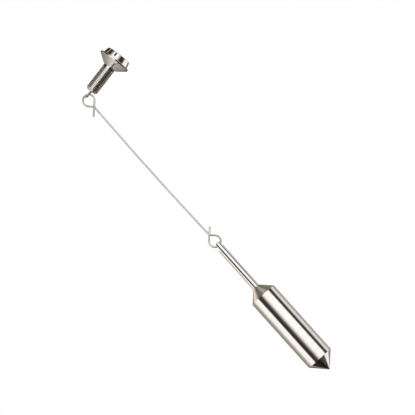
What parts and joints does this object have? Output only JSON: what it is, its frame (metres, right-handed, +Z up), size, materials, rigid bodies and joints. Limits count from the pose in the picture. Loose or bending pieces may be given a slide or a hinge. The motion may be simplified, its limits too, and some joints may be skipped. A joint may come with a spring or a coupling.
{
  "type": "plumb bob",
  "caption": "Turned steel plumb bob on a stem, hung by a stiff wire with crossed loops from the eye of a slotted suspension screw with a conical seat washer.",
  "frame": {"origin": "on the suspension screw's axis, where its thread meets the small end of the conical seat", "axes": "+Z up along the hanging plumb line; the screw's axis lies in the XZ plane, its head towards +X and 11 degrees up, its eye towards -X"},
  "size_m": [0.0417, 0.021, 0.2334],
  "materials": {
    "screw_steel": "polished stainless steel, turned and threaded",
    "washer_steel": "fine turned stainless steel",
    "spring_wire": "bright drawn stainless spring wire",
    "stem_steel": "polished stainless rod",
    "bob_steel": "mirror polished stainless steel with faint turning lines"
  },
  "bodies": {
    "screw": {"suspension_screw": "screw_steel", "seat_washer": "washer_steel", "wire_eye": "spring_wire"},
    "hanger": {"hanger_wire": "spring_wire"},
    "bob": {"stem": "stem_steel", "bob_body": "bob_steel"}
  },
  "joints": [
    {"name": "wire_swing", "type": "hinge", "parent": "screw", "child": "hanger", "pos_m": [-0.02263, 0, -0.0044], "axis": [0, 1, 0], "range_deg": [-8, 155]},
    {"name": "bob_swing", "type": "hinge", "parent": "hanger", "child": "bob", "pos_m": [-0.02263, 0, -0.12362], "axis": [1, 0, 0], "range_deg": [-90, 90]}
  ]
}
